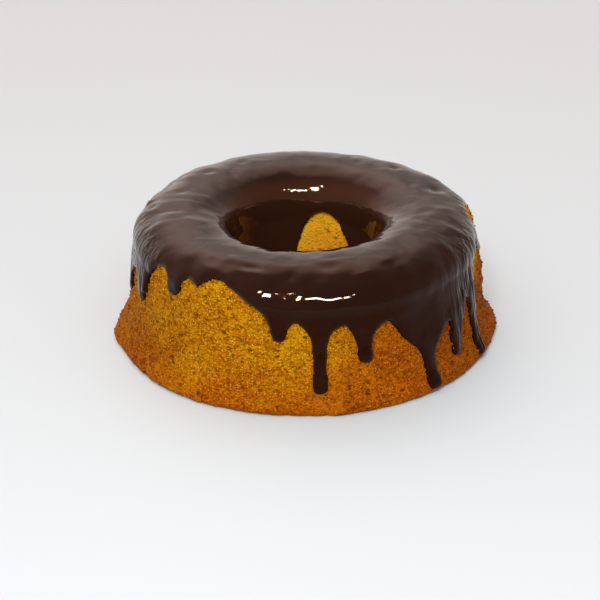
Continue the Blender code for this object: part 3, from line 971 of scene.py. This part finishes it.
@dataclass
class Sponge(Layer):
    """The baked ring: a closed grid of rows and columns with crags and pores where bare."""

    seed: int = 5
    columns: int = 720
    wall_step: float = 1.02
    bare_top: float = 75.5
    hole_rows: int = 26
    lip_rows: int = 6
    crown_rows: int = 5
    base_rows: int = 4
    under_coat: float = 0.6
    cover_fade: Band = (-0.3, 1.2)
    bare_fade: Band = (0.4, 3.4)
    coarse_depth: float = 0.5
    coarse_length: float = 9.0
    fine_depth: float = 0.32
    fine_length: float = 2.6
    pore_depth: float = 1.0
    pore_length: float = 5.5
    pore_share: float = 0.25
    crumb_seed: int = 11
    crumb_count: int = 3000
    edge_crumb_count: int = 1500
    crumb_size: float = 0.72
    crumb_sizes: Band = (0.45, 1.25)
    crumb_wall_share: float = 0.9
    crumb_wall_top: float = 74.0
    crumb_hole_top: float = 55.0
    crumb_clearance: float = 0.8
    edge_inset: Band = (-1.5, 0.1)
    corner_spread: Band = (0.7, 1.25)
    axis_spread: Band = (0.7, 1.3)
    finish: GoldenCrumb = GoldenCrumb()

    def relief(self, angle: Array, along: Array) -> Array:
        """Lift of the crumb over the turned skin.

        Under the coat the skin lies a little lower. Where it is bare, coarse and fine
        noise raise and lower it and round pores are sunk into it.

        Args:
            angle: Angles in radians.
            along: Distances along the section.

        Returns:
            One lift a point.
        """
        distance = self.coverage.signed(angle, along)
        cover = np.interp(distance, self.cover_fade, (0.0, 1.0))
        bare = np.interp(-distance, self.bare_fade, (0.0, 1.0))
        points = self.ring.place(angle, along, 0.0)
        crags = self.coarse_depth * self.lattice.layers(points, self.coarse_length, 2)
        grains = self.fine_depth * self.lattice.layers(points + 71.0, self.fine_length, 2)
        squat = points * [1.0, 1.0, 1.4]
        pores = self.pore_depth * self.lattice.pits(squat, self.pore_length, self.pore_share)
        return bare * (crags + grains - pores) - cover * self.under_coat

    def rows(self) -> Array:
        """Distances along the section of the grid's rows, close together where bare."""
        ring = self.ring
        hole_top = float(ring.along_at(ring.hole_top_height + 6.0, outer=False))
        bare_top = float(ring.along_at(self.bare_top))
        wall_rows = round((ring.along[-2] - bare_top) / self.wall_step)
        return np.concatenate(
            [
                ring.along[:1],
                np.linspace(ring.along[1], hole_top, self.hole_rows, endpoint=False),
                np.linspace(hole_top, 0.0, self.lip_rows, endpoint=False),
                np.linspace(0.0, bare_top, self.crown_rows, endpoint=False),
                np.linspace(bare_top, ring.along[-2], wall_rows + 1),
                ring.along[-1:],
            ]
        )

    def mesh(self) -> Piece:
        """Rows and columns of the skin, closed by flat rows across the underside."""
        rows = self.rows()
        columns = np.arange(self.columns) * TURN / self.columns
        along, angle = (part.ravel() for part in np.meshgrid(rows, columns, indexing="ij"))
        lift = self.relief(angle, along)
        on_base = self.ring.height_at(along) == 0.0
        points = self.ring.place(angle, along, np.where(on_base, 0.0, lift))
        points[on_base, 2] = 0.0
        points[:, 2] = np.maximum(points[:, 2], 0.0)
        skin = points.reshape(len(rows), self.columns, 3)
        share = (np.arange(1, self.base_rows + 1) / (self.base_rows + 1))[:, None, None]
        base = skin[-1] + (skin[0] - skin[-1]) * share
        grid = np.concatenate([skin, base])
        number = np.arange(len(grid) * self.columns).reshape(-1, self.columns)
        above = np.roll(number, -1, axis=0)
        corners = (number, above, np.roll(above, -1, axis=1), np.roll(number, -1, axis=1))
        faces = np.stack([corner.ravel() for corner in corners], axis=1)
        return make_mesh("sponge_ring", grid.reshape(-1, 3), faces)

    def crumbs(self) -> Piece:
        """Small angular grains half sunk in the bare skin.

        Each is an icosahedron with its corners pushed in or out at random, scaled and
        set at a random place of the bare wall or of the bare patch in the hole.
        """
        numbers = np.random.default_rng(self.crumb_seed)
        ring = self.ring
        drawn = 3 * self.crumb_count
        angle = numbers.uniform(0.0, TURN, drawn)
        outside = numbers.uniform(0.0, 1.0, drawn) < self.crumb_wall_share
        wall_top = float(ring.along_at(self.crumb_wall_top))
        hole_top = float(ring.along_at(self.crumb_hole_top, outer=False))
        wall = numbers.uniform(wall_top, ring.along[-3], drawn)
        hole = numbers.uniform(ring.along[2], hole_top, drawn)
        along = np.where(outside, wall, hole)
        bare = self.coverage.signed(angle, along) < -self.crumb_clearance
        rim = self.coverage.outer
        chosen = numbers.integers(0, len(rim.angle), self.edge_crumb_count)
        beside, below = rim.inward()
        inset = numbers.uniform(*self.edge_inset, self.edge_crumb_count)
        beside = inset * beside[chosen] / ring.radius_at(rim.along[chosen])
        angle = np.concatenate([angle[bare][: self.crumb_count], rim.angle[chosen] + beside])
        below = rim.along[chosen] + inset * below[chosen]
        along = np.concatenate([along[bare][: self.crumb_count], below])
        size = self.crumb_size * numbers.uniform(*self.crumb_sizes, len(angle)) ** 1.5
        centre = ring.place(angle, along, self.relief(angle, along) + 0.1 * size)
        centre[:, 2] = np.maximum(centre[:, 2], size)
        shape, faces = icosahedron()
        uneven = numbers.uniform(*self.corner_spread, (len(angle), 12, 1))
        squash = numbers.uniform(*self.axis_spread, (len(angle), 1, 3))
        points = centre[:, None] + size[:, None, None] * uneven * squash * shape
        faces = faces + 12 * np.arange(len(angle))[:, None, None]
        return make_mesh("loose_crumbs", points.reshape(-1, 3), faces.reshape(-1, 3))

    def build(self) -> None:
        """Make both pieces and dress them."""
        material = self.finish.material()
        ring = self.mesh()
        crumbs = self.crumbs()
        for piece in (ring, crumbs):
            dress(piece, material)
        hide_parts(Node.CAKE.value)


@dataclass
class Coat(Layer):
    """The poured chocolate: one skin with a rounded bead along both of its rims."""

    seed: int = 23
    top: float = 3.2
    side: float = 2.4
    bead_width: float = 3.2
    bead_rows: tuple[float, ...] = (0.15, 0.42, 0.82, 1.34, 1.98, 2.75)
    field_gap: float = 0.75
    step: float = 1.5
    hole_step: float = 2.2
    field_end: float = 80.0
    sunk: float = 0.35
    sunk_reach: float = 0.5
    rim_gap: float = 0.02
    slow_depth: float = 0.4
    slow_length: float = 17.0
    pleat_depth: float = 0.45
    pleat_length: float = 13.0
    lump_depth: float = 0.45
    lump_length: float = 14.0
    pleat_round: float = 104.0
    pleat_along: float = 0.22
    lip_depth: float = 2.2
    lip: Band = (-27.0, 11.0)
    shoulder: Band = (27.0, 16.0)
    outside: Band = (6.0, 3.0)
    crown: Band = (-17.0, 4.0)
    thin_place: Swelling = Swelling(98.0, 13.0, 29.0, 11.0, 0.85)
    dimples: tuple[Swelling, ...] = Swelling.rows(
        (-129.5, 3, 4.5, 3, -0.9), (-136.5, 2.6, -8, 3, -0.6), (-149, 2.4, 3, 2.4, -0.6),
        (-105.5, 2.4, 4, 2.6, -0.6), (-91, 2.2, 18, 2.6, -0.9), (-122, 2.6, 10.7, 4, 0.5),
        (-93.5, 2.4, -2, 9, 0.45), (-84, 2, 8, 9, -0.45), (-73, 2, 14, 9, 0.6),
        (-20, 4, 12.5, 2.2, -0.8), (-20, 5, 16, 2.2, 0.6), (-29, 4, 8, 3, 0.6),
        (-33, 4, 15, 3, -0.6), (10.5, 6, 3.5, 2.2, 0.6), (8, 5, 9.5, 2.4, -0.4),
        (20.5, 3.5, 17.5, 2.2, 0.7), (32, 4, 11, 3, 0.6), (46.5, 2.4, 24, 2.2, 0.6),
        (57.5, 1.8, 20.5, 5, 0.5), (64, 2.2, 17, 8, -0.4), (70, 2, 17, 8, 0.6),
        (76, 2.2, 12, 9, -0.45), (86, 2.4, 10, 8, 0.4), (108, 3.2, 8.6, 3.2, -1.2),
        (135.5, 2.2, 6.5, 2.6, -1), (168, 11, -29.5, 4.4, -0.58), (172.8, 4.5, -29, 8, 0.17),
        (-178, 1, -27.6, 1.6, 0.18), (-175.5, 1, -27, 1.6, -0.18),
        (-172.6, 1.1, -26.4, 1.6, 0.2), (-169.6, 1, -26, 1.6, -0.18),
        (-166.5, 1, -25.6, 1.6, 0.16), (-99, 1.6, 22.6, 2.2, 1.4), (93.5, 3, 20.5, 2.6, 0.7),
        (8, 30, 19, 8, -1.3), (8, 30, 36, 7, 1.1),
    )
    finish: SetChocolate = SetChocolate()

    def thickness(self, angle: Array, along: Array, distance: Array) -> Array:
        """Thickness: full in the open, rounded off as a quarter ellipse at the rims.

        Slow noise, pleats that run down the shoulder and single dimples make it uneven,
        and the hole's lip is thicker. The pleats are noise in a space where the angle
        counts in full and the distance along the section only a little.

        Args:
            angle: Angles in radians.
            along: Distances along the section.
            distance: Distances to the nearest rim.

        Returns:
            One thickness a point.
        """
        ring = self.ring
        height = ring.height_at(along)
        rise = (height - ring.hole_top_height) / (ring.crest_height - ring.hole_top_height)
        full = self.side + (self.top - self.side) * np.clip(rise, 0.0, 1.0)
        points = ring.place(angle, along, 0.0)
        slow = self.slow_depth * self.lattice.layers(points, self.slow_length, 2)
        place = [np.sin(angle), np.cos(angle), self.pleat_along * along / self.pleat_round]
        turned = self.pleat_round * np.stack(place, axis=1)
        pleats = self.pleat_depth * self.lattice.layers(turned + 51.0, self.pleat_length, 2)
        pleats *= 0.25 + 0.75 * bell(along, *self.shoulder)
        pleats *= (0.3 + 0.7 * np.sin(angle) ** 2) * slope(along, *self.outside)
        lumps = self.lump_depth * self.lattice.layers(points + 13.0, self.lump_length, 2)
        waves = (slow + pleats + lumps) * (0.3 + 0.7 * slope(along, *self.crown))
        waves += self.lip_depth * bell(along, *self.lip)
        for dimple in self.dimples:
            waves = waves + dimple.strength(angle, along)
        thinned = 1 - self.thin_place.strength(angle, along)
        inset = np.clip(distance / self.bead_width, 0.0, 1.0)
        bead = np.sqrt(1 - (1 - inset) ** 2)
        return (full + waves) * thinned * bead

    def field(self) -> Pair:
        """Points in the open coat: rings of even steps, every other one half a step on."""
        ring = self.ring
        hole_top = float(ring.along_at(ring.hole_top_height, outer=False))
        inside = (ring.along[0], hole_top, self.hole_step)
        stretches = (inside, (hole_top, self.field_end, self.step))
        angles, alongs = [], []
        index = 0
        for start, end, step in stretches:
            count = round((end - start) / (step * math.sqrt(0.75)))
            for along in np.linspace(start, end, count, endpoint=False):
                around = round(TURN * float(ring.radius_at(along)) / step)
                angles.append((np.arange(around) + 0.5 * (index % 2)) * TURN / around)
                alongs.append(np.full(around, along))
                index += 1
        angle, along = np.concatenate(angles), np.concatenate(alongs)
        keep = self.coverage.signed(angle, along) > self.bead_rows[-1] + self.field_gap
        return angle[keep], along[keep]

    def bead(self) -> Pair:
        """Rows of points carried along both rims, each a fixed distance behind it."""
        angles, alongs = [], []
        for inset in self.bead_rows:
            for rim in (self.coverage.outer, self.coverage.inner):
                angle, along = rim.offset(inset)
                keep = self.coverage.signed(angle, along) > 0.96 * inset
                angles.append(angle[keep])
                alongs.append(along[keep])
        return np.concatenate(angles), np.concatenate(alongs)

    def mesh(self) -> Piece:
        """The rims, the bead's rows and the open field joined, with a face below each.

        The skin is laid flat, its points are joined into triangles that keep both rims,
        and the triangles outside the coat are dropped. The underside repeats them.
        """
        ring, coverage = self.ring, self.coverage
        rims = [(rim.angle, rim.along) for rim in (coverage.outer, coverage.inner)]
        parts = (*rims, self.bead(), self.field())
        flat = np.concatenate([ring.spread(*part) for part in parts])
        sides, first = [], 0
        for angle, _ in rims:
            number = first + np.arange(len(angle))
            sides.append(np.stack([number, np.roll(number, -1)], axis=1))
            first += len(angle)
        corners = [Vector(corner) for corner in flat.tolist()]
        made = delaunay_2d_cdt(corners, np.concatenate(sides).tolist(), [], 0, 1e-9)
        flat = np.array([corner.to_tuple() for corner in made[0]])
        faces = np.array(made[2])
        middle = ring.gather(flat[faces].mean(axis=1))
        used, faces = np.unique(faces[coverage.signed(*middle) > 0], return_inverse=True)
        faces = faces.reshape(-1, 3)
        angle, along = ring.gather(flat[used])
        distance = np.abs(coverage.signed(angle, along))
        on_rim = distance < self.rim_gap
        distance[on_rim] = 0.0
        lift = self.thickness(angle, along, distance)
        sunk = self.sunk * np.clip(1 - distance / self.sunk_reach, 0.0, 1.0)
        outer = ring.place(angle, along, lift - sunk)
        inner = ring.place(angle, along, -self.sunk)
        twin = np.where(on_rim, np.arange(len(used)), len(used) + np.cumsum(~on_rim) - 1)
        points = np.concatenate([outer, inner[~on_rim]])
        faces = np.concatenate([faces, twin[faces][:, ::-1]])
        return make_mesh("chocolate_coat", points, faces)

    def build(self) -> None:
        """Make the coat and dress it."""
        coat = self.mesh()
        dress(coat, self.finish.material())
        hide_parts(Node.ICING.value)


def direction(azimuth: float, elevation: float) -> Vector:
    """Unit direction at an azimuth from the front and an elevation, in degrees."""
    around, up = math.radians(azimuth), math.radians(elevation)
    level = math.cos(up)
    return Vector((math.sin(around) * level, -math.cos(around) * level, math.sin(up)))


class Role(Enum):
    """What a light does: light the surfaces, or only show as glints in glossy ones."""

    LIGHT = "light"
    GLINT = "glint"


LAMP_TONE: dict[Role, Colour] = {Role.LIGHT: (1.0, 1.0, 1.0), Role.GLINT: (0.5, 0.95, 1.0)}


@dataclass(frozen=True)
class Softbox:
    """One soft studio light, aimed at the cake."""

    name: str
    azimuth: float
    elevation: float
    width: float
    depth: float
    power: float
    role: Role
    distance: float = 1.25

    def build(self, aim: Vector) -> None:
        """Place the light on its direction from the aim and turn it to face it."""
        away = direction(self.azimuth, self.elevation)
        lamp = bpy.data.lights.new(self.name, "AREA")
        lamp.shape = "RECTANGLE"
        lamp.size = self.width
        lamp.size_y = self.depth
        lamp.energy = self.power
        lamp.color = LAMP_TONE[self.role]
        light = add_object(self.name, lamp)
        light.location = aim + self.distance * away
        light.rotation_euler = away.to_track_quat("Z", "Y").to_euler()
        light.visible_diffuse = self.role is Role.LIGHT
        light.visible_glossy = self.role is Role.GLINT


@dataclass(frozen=True)
class Glow:
    """Light of the surroundings that changes smoothly with the angle from one direction.

    It is the level beyond the reach, and the level plus the gain within the core; both
    are angles in degrees from the direction.
    """

    towards: tuple[float, float, float]
    reach: float
    core: float
    level: float
    gain: float

    def light(self, graph: Graph, towards: Socket) -> Value:
        """The glow's strength in a direction."""
        settings = {"operation": "DOT_PRODUCT"}
        inputs = (towards, self.towards)
        near = graph.value("ShaderNodeVectorMath", settings, inputs, "Value")
        reach, core = (math.cos(math.radians(part)) for part in (self.reach, self.core))
        return near.between(reach, core) * self.gain + self.level


@dataclass(frozen=True)
class Studio:
    """Plain pale floor, soft lights and the photograph's point of view."""

    aim: tuple[float, float, float] = (-0.0032, 0.0, 0.015)
    elevation: float = 27.49
    camera_distance: float = 1.0
    lens: float = 93.714
    sensor: float = 36.0
    floor_radius: float = 4.0
    floor_corners: int = 96
    floor_tone: Colour = (0.63, 0.695, 0.75)
    sky_tone: Colour = (1.0, 0.865, 0.79)
    glows: tuple[Glow, ...] = (
        Glow((1.0, 0.0, 0.0), 116.0, 70.0, 1.06, -0.3),
        Glow((-0.55, 0.8, 0.25), 50.0, 15.0, 0.0, 0.36),
        Glow((-0.06, 0.615, 0.786), 27.0, 7.0, 0.0, 1.15),
    )
    softboxes: tuple[Softbox, ...] = (
        Softbox("key", -8.0, 47.0, 0.34, 0.22, 5.8, Role.LIGHT),
        Softbox("left_lamp", -31.0, 58.0, 0.08, 0.16, 8.0, Role.GLINT),
        Softbox("bright_lamp", -12.6, 46.5, 0.1, 0.3, 22.0, Role.GLINT),
        Softbox("long_lamp", 13.5, 43.5, 0.44, 0.12, 32.0, Role.GLINT),
        Softbox("small_lamp", 36.0, 48.0, 0.04, 0.06, 1.8, Role.GLINT),
    )

    def camera(self) -> None:
        """Camera at the fitted distance, elevation and focal length."""
        lens = bpy.data.cameras.new("camera")
        lens.lens = self.lens
        lens.sensor_width = self.sensor
        lens.clip_end = 50.0
        viewer = add_object("camera", lens)
        back = direction(0.0, self.elevation) * self.camera_distance
        viewer.location = Vector(self.aim) + back
        viewer.rotation_euler = (math.radians(90.0 - self.elevation), 0.0, 0.0)
        bpy.context.scene.camera = viewer

    def floor(self) -> None:
        """A wide round floor at the height that the cake stands on."""
        corner = np.arange(self.floor_corners)
        angle = corner * TURN / self.floor_corners
        rim = np.stack([np.cos(angle), np.sin(angle), 0 * angle], axis=1)
        piece = make_mesh("floor", rim * self.floor_radius / MILLIMETRE, corner[None])
        graph = Graph(bpy.data.materials.new("pale_floor"))
        cloud = graph.noise(graph.place(), 400.0, 2.0)
        faint = tuple(0.98 * part for part in self.floor_tone)
        colour = graph.mix(cloud, rgba(self.floor_tone), faint)
        sockets = {"Base Color": colour, "Roughness": 0.8}
        piece.data.materials.append(graph.finish(Target.MATERIAL, sockets))

    def sky(self) -> None:
        """World whose light is the sum of the glows."""
        graph = Graph(bpy.data.worlds.new("studio"))
        towards = graph.place("Generated")
        strength: Number = 0.0
        for glow in self.glows:
            strength = glow.light(graph, towards) + strength
        sockets = {"Color": rgba(self.sky_tone), "Strength": strength}
        bpy.context.scene.world = graph.finish(Target.WORLD, sockets)

    def build(self) -> None:
        """Set the stage."""
        bpy.context.scene.view_settings.view_transform = "Standard"
        self.camera()
        self.floor()
        self.sky()
        for softbox in self.softboxes:
            softbox.build(Vector(self.aim))


def main() -> None:
    """Load the frame, make the sponge, the coat and the studio, and log the pieces' triangle
    counts.
    """
    logging.basicConfig(level=logging.INFO, format="%(name)s: %(message)s")
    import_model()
    ring = Ring()
    coverage = Coverage(ring)
    Sponge(ring, coverage).build()
    Coat(ring, coverage).build()
    Studio().build()


if __name__ == "__main__":
    main()
